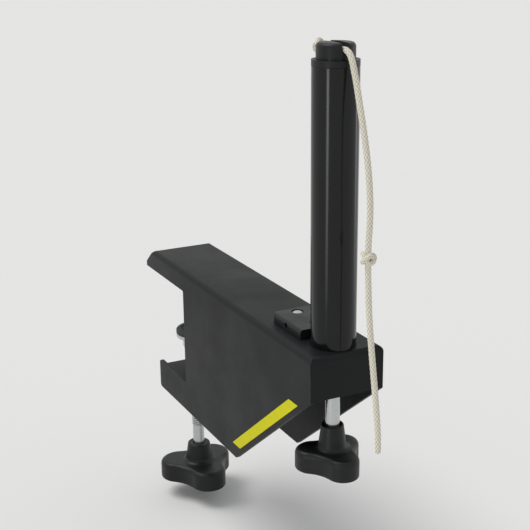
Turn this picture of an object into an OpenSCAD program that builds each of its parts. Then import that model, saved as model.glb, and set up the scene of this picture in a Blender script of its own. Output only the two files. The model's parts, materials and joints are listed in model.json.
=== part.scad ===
// Table tennis net clamp: a folded steel channel that grips the table's edge with a screw,
// and carries a telescoping net post with a height screw and a tension cord.
// Millimetres. The origin is on the table's surface at its side edge, in the clamp's middle plane.
// +X points away from the table, +Y along its side edge and +Z up.

/* [Frame] */
// Width across the two side plates
frame_w = 40; // [36:1:50]
// Thickness of the folded sheet
sheet = 2; // [1.5:0.5:3]
// Height of the frame's top above the table's surface
top_z = 14; // [13:1:20]
// Distance from the post's outer side to the frame's outer end
end_margin = 2.5; // [2.5:0.5:6]
// Height of the closed outer end
end_h = 22; // [20:1:30]
// Reach of the upper jaw over the table
upper_reach = 57; // [48:1:75]
// Reach of the lower jaw under the table
lower_reach = 41; // [38:1:50]
// Depth of the jaw slot below the table's surface
slot_depth = 56; // [54:1:70]
// Height of the lower jaw's side plates under the slot
lower_jaw_h = 18; // [16:1:30]
// Length of the straight bottom edge outward of the table's side edge
bottom_run = 71.5; // [40:0.5:90]
// Length of the slope at the upper jaw's nose
nose_run = 11; // [6:1:20]
// Height of the nose's blunt front
nose_front = 3; // [2:0.5:6]

/* [Jaws] */
// Thickness of the folded strip inside the jaws
bracket_t = 3; // [2:0.5:4]
// Thickness of the upper jaw pad
pad_t = 3; // [2:0.5:5]
// How far the pads stand out of the steel edges
pad_proud = 2; // [1:0.5:2]
// Distance from the table's side edge to the clamp screw's axis
screw_reach = 29; // [24:1:32]
// Opening between the pads as the part rests
jaw_open = 34; // [10:1:38]
// Length of the strip's lower flange beyond the screw's axis
flange_reach = 11; // [8:1:12]

/* [Clamp screw] */
// Diameter of the clamp screw's thread
clamp_d = 8; // [6:1:10]
// Diameter of the ball on its end
ball_d = 10; // [9:0.5:12]
// Diameter of the pressure foot
foot_d = 24; // [20:1:28]
// Thickness of the foot's steel plate
foot_plate_t = 2.5; // [2:0.5:4]
// Thickness of the foot's rubber pad
foot_pad_t = 3; // [2:0.5:4]
// Wall of the foot's socket around the ball
socket_wall = 3; // [2:0.5:4]
// Length from the pad's top to the clamp knob's hub
clamp_len = 79; // [76:1:100]
// Length of bare shank above the clamp knob's hub
shank_len = 13; // [6:1:14]

/* [Knobs] */
// Overall diameter of the clamp knob
clamp_knob_d = 50; // [40:1:60]
// Thickness of the clamp knob's lobes
clamp_knob_h = 12; // [10:1:16]
// Height of the clamp knob's hub
clamp_hub_h = 12; // [8:1:20]
// Overall diameter of the height knob
height_knob_d = 37; // [30:1:44]
// Thickness of the height knob's lobes
height_knob_h = 11; // [9:1:14]
// Height of the height knob's hub
height_hub_h = 13; // [8:1:20]
// Wall of the clamp knob's hub at its top
clamp_hub_wall = 3.5; // [2:0.5:5]
// Wall of the height knob's hub at its top
height_hub_wall = 2; // [1.5:0.5:4]
// Radius of a lobe, in knob diameters
lobe_ratio = 0.22; // [0.2:0.01:0.25]
// Radius between the lobes, in knob diameters
waist_ratio = 0.32; // [0.3:0.01:0.34]

/* [Post] */
// Distance from the table's side edge to the post's outer side
post_limit = 152.5; // [150:0.5:185]
// Outer diameter of the fixed tube
post_d = 22; // [19:0.5:27]
// Wall of both tubes
tube_wall = 1; // [0.8:0.1:1.5]
// Height of the fixed tube's top above the table's surface
post_top = 146; // [120:1:160]
// Wall of the guide bush's liner between the two tubes, with its clearances
liner = 1; // [0.8:0.1:1.5]
// Height that the net's top edge stands at when the post is down
net_h = 152.5; // [150:0.5:170]
// How far the height screw can raise the post
lift = 45; // [20:1:50]
// Diameter of the height screw's thread
height_d = 8; // [6:1:8]
// Length of bare stem under the seat plate
stem_len = 20; // [14:1:30]
// Thickness of the seat plate under the post
seat_t = 3; // [2:0.5:4]
// How far the seat plate reaches inward of the post
seat_reach = 5; // [3:1:8]
// Diameter of the height screw's collar
collar_d = 14; // [12:0.5:15]
// Thickness of the collar
collar_h = 2.5; // [2:0.5:4]
// Diameter of the washer under the seat plate
washer_d = 16; // [14:1:18]
// Thickness of the washer
washer_t = 1.2; // [0.8:0.2:2]
// Diameter of the clip under the washer
clip_d = 11; // [10:0.5:13]
// Length of the guide bush inside the fixed tube
bush_len = 12; // [8:1:20]
// Thickness of the guide bush's flange
bush_flange_h = 3; // [2:0.5:4]
// Length of the lift nut inside the sliding tube
lift_spigot = 11; // [8:1:20]

/* [Net tie block] */
// Length of the block beside the post
tie_l = 30; // [24:1:40]
// Width of the block
tie_w = 24; // [20:1:30]
// Height of the block
tie_h = 5; // [4.5:0.5:8]
// Diameter of its two rivets
rivet_d = 3.2; // [2.5:0.1:4]

/* [Stripe] */
// Width of the coloured stripe
stripe_w = 5.8; // [3:0.2:8]
// Distance from the stripe to the sloped edge
stripe_margin = 2.8; // [1:0.2:6]
// Thickness of the stripe's film
stripe_t = 0.3; // [0.2:0.1:0.5]

/* [Fits] */
// Radial clearance of a piece that turns or slides in another
run_gap = 0.05; // [0.02:0.01:0.1]
// Clearance of a fixed piece in its hole
fit_gap = 0.1; // [0.05:0.05:0.2]
// Clearance around pieces that pass each other freely
free_gap = 0.3; // [0.2:0.1:0.5]

/* [Cord] */
// Diameter of the tension cord
cord_d = 3; // [2.5:0.1:3.2]

/* [Hidden] */
$fn = 64;

steel_black = "#2b2c2e";
plastic_black = "#1c1d1f";
zinc = "#c3c7cb";
rubber = "#3a3b3d";
stripe_colour = "#d6d61e";
cord_white = "#efece2";

eps = 0.01;
half_w = frame_w / 2;
inner_w = frame_w - 2 * sheet;
end_z = top_z - end_h;
frame_bottom = -slot_depth - lower_jaw_h;
throat_x = 1.5;
outer_x = post_limit + end_margin;
post_x = post_limit - post_d / 2;
slot_top = pad_proud;
corner_r = 2;
fold_r = 3;

stripe_low = 8;
stripe_high = 6;

bracket_top = pad_t;
bracket_low = -slot_depth - bracket_t;
bracket_fillet = 0.5;
bracket_end = -upper_reach + sheet + bracket_t;
pad_start = -upper_reach + sheet + 0.3;
pad_end = throat_x - bracket_fillet - 0.1;
pad_edge = 0.8;
screw_hole_gap = 0.5;
groove_w = 1;
groove_h = 0.6;
groove_pitch = 6;

nut_across = 1.625 * clamp_d;
nut_h = 0.8125 * clamp_d;
nut_top = bracket_low - bracket_t;

foot_top = -jaw_open;
foot_plate_z = foot_top - foot_pad_t - foot_plate_t;
ball_z = foot_plate_z - ball_d / 2 - fit_gap;
socket_d = ball_d + 2 * socket_wall;
socket_taper = 3;
socket_wrap = 0.39;
socket_bottom = ball_z - socket_wrap * ball_d;
neck_d = 0.75 * clamp_d;
neck_gap = 0.4;
neck_free = 2;
neck_end = socket_bottom - neck_free;
screw_chamfer = 1;
hub_z = foot_top - clamp_len;
shank_ratio = 0.9;

seat_top = end_z + seat_t;
stem_d = height_d * shank_ratio;
height_hub_z = end_z - stem_len;
bush_top = post_top + bush_flange_h;
tube_id = post_d - 2 * tube_wall;
inner_d = tube_id - 2 * liner;
inner_id = inner_d - 2 * tube_wall;
lift_flange_h = 3;
lift_nut_z = seat_top + collar_h + 2 * fit_gap + free_gap;
inner_bottom = lift_nut_z + lift_flange_h;
cap_z = bush_top + 2 * free_gap;
groove_z = net_h + 1;
groove_floor = groove_z - cord_d / 2 - 2 * fit_gap;
cap_top = groove_z + cord_d;
cap_spigot = 10;
key_w = 2;
keyway_w = 2.4;
key_z = post_top - bush_len + 1;
key_h = bush_len;
keyway_top = key_z + key_h + 1;
keyway_bottom = key_z - lift - 1;
screw_top = inner_bottom + lift + lift_spigot;

clip_t = 0.8;
groove_d = stem_d - 1.6;
washer_z = end_z - run_gap - washer_t;
clip_z = washer_z - fit_gap - clip_t;

rivet_head_d = rivet_d + 2.8;
rivet_head_h = 1.5;
rivet_tail_h = 1.2;
tie_end = post_x - post_d / 2;
tie_edge = 1.5;
tie_corner = 3;
rivet_inner = 5;
rivet_outer = 6;
RIVETS = [tie_end - tie_l + rivet_inner, tie_end - rivet_outer];

knot_d = 8;
stop_x = post_x - inner_d / 2 - knot_d / 2 - free_gap;

// Route of the tension cord over the cap and down to its bare end, measured from the post's outer
// side and the groove's middle. The stop knot holds its first point.
ROUTE = [
    [-17.5, 0, 0], [-11.5, 0, 0], [-5.5, 0, 0], [-1.9, 0, -0.1], [1, 0, -1.5], [3.1, 0, -4.2],
    [4.7, 0, -8], [7.1, 0, -14], [10.1, -0.4, -21], [13.3, -0.8, -28.5], [16.3, -1.2, -36],
    [18.7, -1.4, -43.5], [20.5, -1.5, -51], [21.6, -1.5, -58.5], [22, -1.4, -66],
    [21.5, -1.2, -73.5], [20.4, -0.9, -81], [19.6, -0.5, -88.5], [19.4, -0.2, -96],
    [19.6, 0, -103.5], [20.2, 0, -111], [21.1, 0, -118.5], [22.3, 0, -126], [23.6, 0, -133.5],
    [25, 0, -141], [26.4, 0, -148.5], [27.8, 0, -156], [29.1, 0, -163.5], [30, 0, -171],
    [30.3, 0, -179.5]];
CORD = concat([[stop_x, 0, groove_z]], [for (p = ROUTE) p + [post_limit, 0, groove_z]]);
KNOT_AT = 18;
cord_sides = 8;

// A closed outline whose corners are rounded to the radii given with them, as [x, y, r].
function unit(v) = v / norm(v);
function rounded(corners, steps = 6) = [
    for (i = [0:len(corners) - 1])
        let (here = [corners[i].x, corners[i].y], r = corners[i][2],
            before = corners[(i + len(corners) - 1) % len(corners)],
            after = corners[(i + 1) % len(corners)],
            u = unit([before.x, before.y] - here), v = unit([after.x, after.y] - here),
            half = acos(u * v) / 2, back = r / tan(half),
            centre = here + unit(u + v) * r / sin(half),
            from = here + u * back - centre, to = here + v * back - centre,
            side = from.x * to.y - from.y * to.x, turn = acos((from * to) / (r * r)) * sign(side))
        for (s = r > 0 ? [0:steps] : [0])
            r > 0 ? centre + [[cos(turn * s / steps), -sin(turn * s / steps)] * from,
                              [sin(turn * s / steps), cos(turn * s / steps)] * from]
                  : here];

// An outline drawn in X and Z, extruded along Y about the middle plane.
module along_y(width) {
    rotate([90, 0, 0]) linear_extrude(width, center = true) children();
}

module ring(outer, inner, height) {
    difference() {
        cylinder(d = outer, h = height);
        translate([0, 0, -1]) cylinder(d = inner, h = height + 2);
    }
}

// ---- Frame ----

module side_outline() {
    polygon(rounded([
        [-upper_reach, slot_top, 0], [-upper_reach, slot_top + nose_front, 1],
        [-upper_reach + nose_run, top_z, 3], [outer_x, top_z, fold_r], [outer_x, end_z, 1],
        [bottom_run, frame_bottom, corner_r], [-lower_reach, frame_bottom, corner_r],
        [-lower_reach, -slot_depth, corner_r], [throat_x, -slot_depth, corner_r],
        [throat_x, slot_top, 1]]));
}

// The strip of sheet that runs over the nose, along the top and down the outer end.
module web_outline() {
    intersection() {
        side_outline();
        difference() {
            translate([-upper_reach - 1, end_z]) square([upper_reach + outer_x + 2, end_h + 1]);
            polygon(rounded([
                [-upper_reach + sheet, end_z - 1, 0],
                [-upper_reach + sheet, slot_top + nose_front - 0.6, 0],
                [-upper_reach + nose_run + 0.6, top_z - sheet, 1],
                [outer_x - sheet, top_z - sheet, fold_r - sheet], [outer_x - sheet, end_z - 1, 0]]));
        }
    }
}

// Cross-section of the folded channel seen along X: rounded at its two upper edges.
module fold_section() {
    translate([0, frame_bottom - 1]) polygon(rounded([
        [-half_w, 0, 0], [half_w, 0, 0], [half_w, top_z - frame_bottom + 1, fold_r],
        [-half_w, top_z - frame_bottom + 1, fold_r]]));
}

module frame_channel() color(steel_black) difference() {
    intersection() {
        union() {
            for (side = [-1, 1])
                translate([0, side * (half_w - sheet / 2), 0]) along_y(sheet) side_outline();
            along_y(frame_w) web_outline();
        }
        translate([-upper_reach - 1, 0, 0]) rotate([90, 0, 90])
            linear_extrude(upper_reach + outer_x + 2) fold_section();
    }
    translate([post_x, 0, top_z - sheet - 1]) cylinder(d = post_d + 2 * fit_gap, h = sheet + 2);
    for (at = RIVETS) translate([at, 0, top_z - sheet - 1])
        cylinder(d = rivet_d + 2 * fit_gap, h = sheet + 2);
}

// A film on each side plate, parallel to the sloped edge, cut level at both ends.
module stripe_outline() {
    run = [outer_x - bottom_run, end_z - frame_bottom];
    across = unit([-run.y, run.x]);
    start = [bottom_run, frame_bottom] + across * stripe_margin;
    low = frame_bottom + stripe_low;
    high = end_z - stripe_high;
    edge = function (from, z) [from.x + (z - from.y) * run.x / run.y, z];
    inner = start + across * stripe_w;
    polygon([edge(start, low), edge(start, high), edge(inner, high), edge(inner, low)]);
}

module side_stripes() color(stripe_colour) for (side = [-1, 1])
    translate([0, side * (half_w + stripe_t / 2), 0]) along_y(stripe_t) stripe_outline();

// ---- Jaws ----

// One folded strip: over the pad, down the throat and under the slot, with the screw's hole.
module jaw_bracket() color(steel_black) difference() {
    low_end = -screw_reach - flange_reach;
    back = throat_x + bracket_t;
    along_y(inner_w) polygon(rounded([
        [bracket_end, bracket_top, 0], [throat_x, bracket_top, bracket_fillet],
        [throat_x, bracket_low, 2], [low_end, bracket_low, 0],
        [low_end, nut_top, 0], [back, nut_top, bracket_t],
        [back, bracket_top + bracket_t, bracket_t], [bracket_end, bracket_top + bracket_t, 0]]));
    translate([-screw_reach, 0, nut_top - 1]) cylinder(d = clamp_d + 2 * screw_hole_gap, h = bracket_t + 2);
}

// Rubber strip with grooves across the face that rests on the table.
module upper_jaw_pad() color(rubber) difference() {
    along_y(inner_w - 2 * free_gap) polygon(rounded([
        [pad_start, 0, pad_edge], [pad_end, 0, pad_edge], [pad_end, pad_t, 0],
        [pad_start, pad_t, 0]], 3));
    for (x = [-groove_pitch / 2:-groove_pitch:pad_start + groove_pitch / 2])
        translate([x, -half_w, groove_h - pad_t]) cube([groove_w, frame_w, pad_t]);
}

module hex_nut(across, height, bore) {
    difference() {
        intersection() {
            cylinder(d = across / cos(30), h = height, $fn = 6);
            translate([0, 0, -1]) cylinder(d1 = across / cos(30) + 2, d2 = across - 0.4, h = height + 1 + eps);
        }
        translate([0, 0, -1]) cylinder(d = bore, h = height + 2);
    }
}

module clamp_nut() color(zinc) translate([-screw_reach, 0, nut_top - nut_h])
    rotate([180, 0, 0]) translate([0, 0, -nut_h]) hex_nut(nut_across, nut_h, clamp_d + 2 * run_gap);

// ---- Clamp foot and screw ----

module pressure_foot() color(zinc) translate([-screw_reach, 0, 0]) difference() {
    rotate_extrude() polygon(rounded([
        [0, socket_bottom, 0], [(socket_d - socket_taper) / 2, socket_bottom, 0.5],
        [socket_d / 2, socket_bottom + socket_taper, 1], [socket_d / 2, foot_plate_z, 1.5],
        [foot_d / 2, foot_plate_z, 0.8], [foot_d / 2, foot_plate_z + foot_plate_t, 0.8],
        [0, foot_plate_z + foot_plate_t, 0]], 4));
    translate([0, 0, ball_z]) sphere(d = ball_d + 2 * run_gap);
    translate([0, 0, socket_bottom - 1]) cylinder(d = neck_d + 2 * neck_gap, h = ball_z - socket_bottom + 1);
}

// Rubber disc with ring grooves in the face that presses on the table.
module foot_pad() color(rubber) translate([-screw_reach, 0, foot_top - foot_pad_t]) difference() {
    rotate_extrude() polygon([[0, 0], [foot_d / 2, 0], [foot_d / 2, foot_pad_t - pad_edge],
        [foot_d / 2 - pad_edge, foot_pad_t], [0, foot_pad_t]]);
    for (share = [0.4, 0.7]) translate([0, 0, foot_pad_t - groove_h])
        ring(share * foot_d + groove_w, share * foot_d - groove_w, groove_h + 1);
}

module clamp_screw() color(zinc) translate([-screw_reach, 0, 0]) {
    shank_top = hub_z + shank_len;
    knob_end = hub_z - clamp_hub_h - clamp_knob_h / 2;
    translate([0, 0, ball_z]) sphere(d = ball_d);
    translate([0, 0, neck_end]) cylinder(d = neck_d, h = ball_z - neck_end);
    translate([0, 0, neck_end - screw_chamfer]) cylinder(d1 = clamp_d, d2 = neck_d, h = screw_chamfer);
    translate([0, 0, shank_top]) cylinder(d = clamp_d, h = neck_end - screw_chamfer - shank_top);
    translate([0, 0, knob_end]) cylinder(d = clamp_d * shank_ratio, h = shank_top - knob_end);
}

// Outline of a rounded edge from its side up to its end: points [inset, height] over a height h,
// with the radius low at the bottom and high at the top.
function edge_line(h, low, high) = concat(
    [for (a = [0:22.5:90]) [low * (1 - sin(a)), low * (1 - cos(a))]],
    [for (a = [0:15:90]) [high * (1 - cos(a)), h - high * (1 - sin(a))]]);

// Three round lobes joined by hollows that run into them at a tangent, with all edges rounded.
// Each hollow is wider by eps so that it meets its lobes in a clean edge.
module lobed_grip(d, h, waist_r, low, high) {
    lobe_r = lobe_ratio * d;
    reach = d / 2 - lobe_r;
    hollow_r = (reach * reach + waist_r * waist_r - reach * waist_r - lobe_r * lobe_r)
        / (reach + 2 * lobe_r - 2 * waist_r);
    far = waist_r + hollow_r;
    at = function (r, a) [r * cos(a), r * sin(a)];
    line = edge_line(h, low, high);
    for (a = [0, 120, 240]) translate(at(reach, a)) rotate_extrude() polygon(concat(
        [[0, 0]], [for (p = line) [lobe_r - p.x, p.y]], [[0, h]]));
    difference() {
        linear_extrude(h) polygon([for (a = [0:60:300]) at(a % 120 == 0 ? reach : far, a)]);
        for (a = [60, 180, 300]) translate(at(far, a)) rotate_extrude($fn = 96) polygon(concat(
            [[0, -1], [hollow_r + low + eps, -1]], [for (p = line) [hollow_r + p.x + eps, p.y]],
            [[hollow_r + high + eps, h + 1], [0, h + 1]]));
    }
}

// A moulded knob: tapered hub over a lobed grip that is hollow underneath, with ribs across the
// hollow. Its top is at z = 0.
module lobed_knob(d, grip_h, hub_h, hub_wall, bore) {
    waist_r = waist_ratio * d;
    hub_top_r = bore / 2 + hub_wall;
    hub_edge = 1;
    hub_low_r = hub_top_r + 1.2;
    cove = 3;
    low_edge = 1;
    high_edge = 3;
    rim = 2;
    rib_t = 1.2;
    hollow = 3;
    difference() {
        union() {
            rotate_extrude() polygon(concat([[0, -hub_h - grip_h / 2]], [[0, 0]],
                [for (a = [90:-15:0]) [hub_top_r, 0] + hub_edge * [cos(a) - 1, sin(a) - 1]],
                [for (a = [180:10:270]) [hub_low_r + cove * (1 + cos(a)), -hub_h + cove * (1 + sin(a))]],
                [[hub_low_r + cove, -hub_h - grip_h / 2]]));
            translate([0, 0, -hub_h - grip_h]) lobed_grip(d, grip_h, waist_r, low_edge, high_edge);
        }
        translate([0, 0, -hub_h - grip_h - 1]) difference() {
            ring(2 * (waist_r - rim), bore + 2 * rim + 1, hollow + 1);
            for (a = [0, 60, 120]) rotate(a)
                translate([-waist_r, -rib_t / 2, -1]) cube([2 * waist_r, rib_t, hollow + 3]);
        }
        translate([0, 0, -hub_h - grip_h / 2]) cylinder(d = bore, h = hub_h + grip_h / 2 + 1);
    }
}

module clamp_knob() color(plastic_black) translate([-screw_reach, 0, hub_z])
    lobed_knob(clamp_knob_d, clamp_knob_h, clamp_hub_h, clamp_hub_wall,
        clamp_d * shank_ratio + 2 * run_gap);

// ---- Post seat and height screw ----

module post_seat_plate() color(steel_black) difference() {
    inward = post_d / 2 + seat_reach;
    translate([post_x - inward, -inner_w / 2, end_z])
        cube([outer_x - sheet - post_x + inward, inner_w, seat_t]);
    translate([post_x, 0, end_z - 1]) cylinder(d = stem_d + 2 * run_gap, h = seat_t + 2);
}

module height_screw() color(zinc) translate([post_x, 0, 0]) {
    low = height_hub_z - height_hub_h - height_knob_h / 2;
    collar_z = seat_top + run_gap;
    difference() {
        translate([0, 0, low]) cylinder(d = stem_d, h = collar_z + eps - low);
        translate([0, 0, clip_z - fit_gap / 2]) ring(stem_d + 2, groove_d, clip_t + fit_gap);
    }
    translate([0, 0, collar_z]) cylinder(d = collar_d, h = collar_h);
    translate([0, 0, collar_z]) cylinder(d = height_d, h = screw_top - screw_chamfer - collar_z);
    translate([0, 0, screw_top - screw_chamfer])
        cylinder(d1 = height_d, d2 = height_d - 2 * screw_chamfer, h = screw_chamfer);
}

module height_knob() color(plastic_black) translate([post_x, 0, height_hub_z])
    lobed_knob(height_knob_d, height_knob_h, height_hub_h, height_hub_wall, stem_d + 2 * run_gap);

module thrust_washer() color(zinc) translate([post_x, 0, washer_z])
    ring(washer_d, stem_d + 2 * run_gap, washer_t);

// A clip pushed on from one side into the stem's groove.
module stem_clip() color(zinc) translate([post_x, 0, clip_z]) linear_extrude(clip_t) difference() {
    mouth = 0.8 * groove_d;
    circle(d = clip_d);
    circle(d = groove_d + 2 * run_gap);
    translate([0, -mouth / 2]) square([clip_d, mouth]);
}

// ---- Post ----

module post_tube() color(steel_black) translate([post_x, 0, seat_top])
    ring(post_d, tube_id, post_top - seat_top);

// A liner with a flange on the tube's end and a key that stops the sliding tube from turning.
module guide_bush() color(plastic_black) translate([post_x, 0, 0]) {
    bore = inner_d + 2 * run_gap;
    translate([0, 0, post_top]) ring(post_d, bore, bush_flange_h);
    translate([0, 0, post_top - bush_len]) ring(tube_id - 2 * run_gap, bore, bush_len);
    translate([0, 0, key_z]) intersection() {
        translate([-tube_id / 2, -key_w / 2, 0]) cube([tube_id / 2, key_w, key_h]);
        ring(bore + 1, inner_id + 2 * free_gap, key_h);
    }
}

module inner_tube() color(steel_black) translate([post_x, 0, 0]) difference() {
    translate([0, 0, inner_bottom]) ring(inner_d, inner_id, cap_z - inner_bottom);
    translate([-inner_d, -keyway_w / 2, keyway_bottom])
        cube([inner_d, keyway_w, keyway_top - keyway_bottom]);
}

module lift_nut() color(plastic_black) translate([post_x, 0, lift_nut_z]) difference() {
    union() {
        cylinder(d = tube_id - 4 * run_gap, h = lift_flange_h);
        cylinder(d = inner_id - 2 * run_gap, h = lift_flange_h + lift_spigot);
    }
    translate([0, 0, -1]) cylinder(d = height_d + 2 * run_gap, h = lift_flange_h + lift_spigot + 2);
}

// Plug with a domed head, and a round-bottomed groove that the cord runs over.
module post_cap() color(plastic_black) translate([post_x, 0, 0]) difference() {
    edge = 2;
    dome = 0.3;
    union() {
        translate([0, 0, cap_z - cap_spigot]) cylinder(d = inner_id - 2 * run_gap, h = cap_spigot + eps);
        translate([0, 0, cap_z]) rotate_extrude() polygon(concat(
            [[0, 0], [inner_d / 2, 0]],
            [for (a = [0:15:90]) [inner_d / 2, cap_top - cap_z] + edge * [cos(a) - 1, sin(a) - 1]],
            [[0, cap_top - cap_z + dome]]));
    }
    translate([-inner_d, 0, groove_floor + cord_d / 2 + free_gap]) rotate([0, 90, 0])
        cylinder(d = cord_d + 2 * free_gap, h = 2 * inner_d);
    translate([-inner_d, -cord_d / 2 - free_gap, groove_floor + cord_d / 2 + free_gap])
        cube([2 * inner_d, cord_d + 2 * free_gap, 2 * cord_d]);
}

// ---- Net tie block ----

// Block that the net's lower string is tied to, through the cross hole.
module net_tie_block() color(plastic_black) difference() {
    intersection() {
        translate([tie_end - tie_l, -tie_w / 2, top_z]) cube([tie_l + post_d / 2, tie_w, tie_h]);
        translate([tie_end - tie_l - 1, 0, 0]) rotate([90, 0, 90])
            linear_extrude(tie_l + post_d) polygon(rounded([
                [-tie_w / 2, top_z - 1, 0], [tie_w / 2, top_z - 1, 0],
                [tie_w / 2, top_z + tie_h, tie_edge], [-tie_w / 2, top_z + tie_h, tie_edge]], 3));
        translate([0, 0, top_z - 1]) linear_extrude(tie_h + 2) polygon(rounded([
            [tie_end - tie_l, -tie_w / 2, tie_corner], [post_x, -tie_w / 2, 0],
            [post_x, tie_w / 2, 0], [tie_end - tie_l, tie_w / 2, tie_corner]]));
    }
    translate([post_x, 0, top_z - 1]) cylinder(d = post_d + 2 * free_gap, h = tie_h + 2);
    translate([tie_end, -tie_w, top_z - 1]) cube([post_d, 2 * tie_w, tie_h + 2]);
    translate([tie_end - tie_l / 2, 0, top_z + 0.5 * tie_h]) rotate([90, 0, 0])
        cylinder(d = cord_d, h = 2 * tie_w, center = true);
    for (at = RIVETS) translate([at, 0, 0]) {
        translate([0, 0, top_z - 1]) cylinder(d = rivet_d + 2 * fit_gap, h = tie_h + 2);
        translate([0, 0, top_z + tie_h - rivet_head_h])
            cylinder(d = rivet_head_d + 2 * fit_gap, h = rivet_head_h + 1);
    }
}

module tie_rivets() color(zinc) for (at = RIVETS) translate([at, 0, 0]) {
    head_z = top_z + tie_h - rivet_head_h;
    tail_z = top_z - sheet - rivet_tail_h;
    tail_d = rivet_head_d - 0.6;
    translate([0, 0, tail_z]) cylinder(d = rivet_d, h = head_z - tail_z + eps);
    translate([0, 0, head_z]) cylinder(d1 = rivet_head_d, d2 = rivet_head_d - 1, h = rivet_head_h);
    translate([0, 0, tail_z]) cylinder(d1 = tail_d - 1, d2 = tail_d, h = rivet_tail_h);
}

// ---- Cord ----

// Rings across the route, each square to the way the cord runs there.
function heading(route, i) = unit(route[min(i + 1, len(route) - 1)] - route[max(i - 1, 0)]);
function rings(route, r, sides) = [
    for (i = [0:len(route) - 1])
        let (along = heading(route, i), across = unit(cross([0, 1, 0], along)),
            over = cross(along, across))
        for (k = [0:sides - 1])
            route[i] + r * (cos(360 * k / sides) * across + sin(360 * k / sides) * over)];

module tube(route, d, sides) {
    last = (len(route) - 1) * sides;
    polyhedron(rings(route, d / 2, sides), concat(
        [[for (k = [0:sides - 1]) k]],
        [for (i = [0:len(route) - 2]) for (k = [0:sides - 1])
            let (a = i * sides + k, b = i * sides + (k + 1) % sides)
                each [[a, a + sides, b + sides], [a, b + sides, b]]],
        [[for (k = [sides - 1:-1:0]) last + k]]));
}

module cord() color(cord_white) tube(CORD, cord_d, cord_sides);

module stop_knot() color(cord_white) translate([stop_x, 0, groove_z])
    sphere(d = knot_d, $fn = 32);

module cord_knot() color(cord_white) translate(CORD[KNOT_AT]) sphere(d = knot_d, $fn = 32);

frame_channel();
side_stripes();
jaw_bracket();
upper_jaw_pad();
clamp_nut();
pressure_foot();
foot_pad();
clamp_screw();
clamp_knob();
post_seat_plate();
post_tube();
guide_bush();
net_tie_block();
tie_rivets();
height_screw();
height_knob();
thrust_washer();
stem_clip();
inner_tube();
lift_nut();
post_cap();
cord();
stop_knot();
cord_knot();
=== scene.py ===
# %% [markdown]
# # A table tennis net clamp
# A folded steel channel grips the edge of a table with a screw, and carries the post that holds one end
# of the net. A small knob under the post turns a captive screw, which raises the post's inner tube.
# The solids come finished from the CAD model as a fixed frame: their places and sizes never change here.
# This notebook gives each of them the surface that a hand would feel: rounded edges, threads, moulded
# forms, a braided cord, and the paint, plating, rubber and plastic that they are made of.

# %% Load the fixed frame
import json
import math
import bmesh
import bpy
from mathutils import Matrix, Vector


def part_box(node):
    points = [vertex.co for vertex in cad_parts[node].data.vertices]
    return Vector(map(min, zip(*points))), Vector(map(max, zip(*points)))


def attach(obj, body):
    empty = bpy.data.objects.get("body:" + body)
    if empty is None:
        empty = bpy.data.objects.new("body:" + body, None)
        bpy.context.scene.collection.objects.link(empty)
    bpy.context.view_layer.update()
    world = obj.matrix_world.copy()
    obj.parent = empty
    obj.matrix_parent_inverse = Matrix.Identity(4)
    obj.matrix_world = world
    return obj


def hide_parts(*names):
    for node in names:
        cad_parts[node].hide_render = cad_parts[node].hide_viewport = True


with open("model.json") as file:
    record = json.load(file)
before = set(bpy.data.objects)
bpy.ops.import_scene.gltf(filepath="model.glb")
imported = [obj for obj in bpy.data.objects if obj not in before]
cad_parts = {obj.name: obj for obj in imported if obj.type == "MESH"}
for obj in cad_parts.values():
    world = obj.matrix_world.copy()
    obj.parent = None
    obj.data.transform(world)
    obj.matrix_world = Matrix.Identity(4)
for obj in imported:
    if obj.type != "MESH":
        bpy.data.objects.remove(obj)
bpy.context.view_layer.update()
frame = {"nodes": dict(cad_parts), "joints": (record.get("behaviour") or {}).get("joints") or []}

# %% [markdown]
# ## The camera
# The camera stands where a person would stand who looks at the clamp from beside the table, a little
# above it: turned 63 degrees from the table's side edge, and looking down by 17 degrees. It is aimed at
# a point near the middle of the clamp. A lens longer than the sensor is wide keeps the upright lines
# almost parallel, and a slight roll sets the post nearly upright.

# %% Camera
MM = 0.001


def mm(x, y, z):
    return Vector((x, y, z)) * MM


EYE, TARGET = mm(563.1, -247.1, 205.5), mm(84.9, -7.8, 39.0)
LENS = 74
ROLL = math.radians(-0.6)
camera = bpy.data.objects.new("camera", bpy.data.cameras.new("camera"))
bpy.context.scene.collection.objects.link(camera)
bpy.context.scene.camera = camera
camera.location = EYE
aim = (TARGET - EYE).to_track_quat("-Z", "Y").to_matrix().to_4x4()
camera.rotation_euler = (aim @ Matrix.Rotation(ROLL, 4, "Z")).to_euler()
camera.data.lens = LENS
camera.data.clip_start, camera.data.clip_end = 0.02, 200
bpy.context.scene.view_settings.view_transform = "Standard"
print("the camera is", round((TARGET - EYE).length, 3), "m from what it looks at")

# %% [markdown]
# ## The tension cord
# The net's upper cord runs over a groove in the post's cap and hangs down on the outer side, with a knot
# half-way that a hand can pull on. A cord is a fixed length of something limp, so it is made as a tube
# swept along its route. The route's points are the CAD model's own; a smooth curve is laid through
# them, and the tube gets a map in millimetres, along it and around it, for its braid to follow.

# %% The cord's route
ROUTE = [mm(*p) for p in [
    (128.2, 0, 153.5), (135, 0, 153.5), (141, 0, 153.5), (147, 0, 153.5), (150.6, 0, 153.4),
    (153.5, 0, 152), (155.6, 0, 149.3), (157.2, 0, 145.5), (159.6, 0, 139.5), (162.6, -0.4, 132.5),
    (165.8, -0.8, 125), (168.8, -1.2, 117.5), (171.2, -1.4, 110), (173, -1.5, 102.5),
    (174.1, -1.5, 95), (174.5, -1.4, 87.5), (174, -1.2, 80), (172.9, -0.9, 72.5),
    (172.1, -0.5, 65), (171.9, -0.2, 57.5), (172.1, 0, 50), (172.7, 0, 42.5), (173.6, 0, 35),
    (174.8, 0, 27.5), (176.1, 0, 20), (177.5, 0, 12.5), (178.9, 0, 5), (180.3, 0, -2.5),
    (181.6, 0, -10), (182.5, 0, -17.5), (182.8, 0, -26)]]


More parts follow.
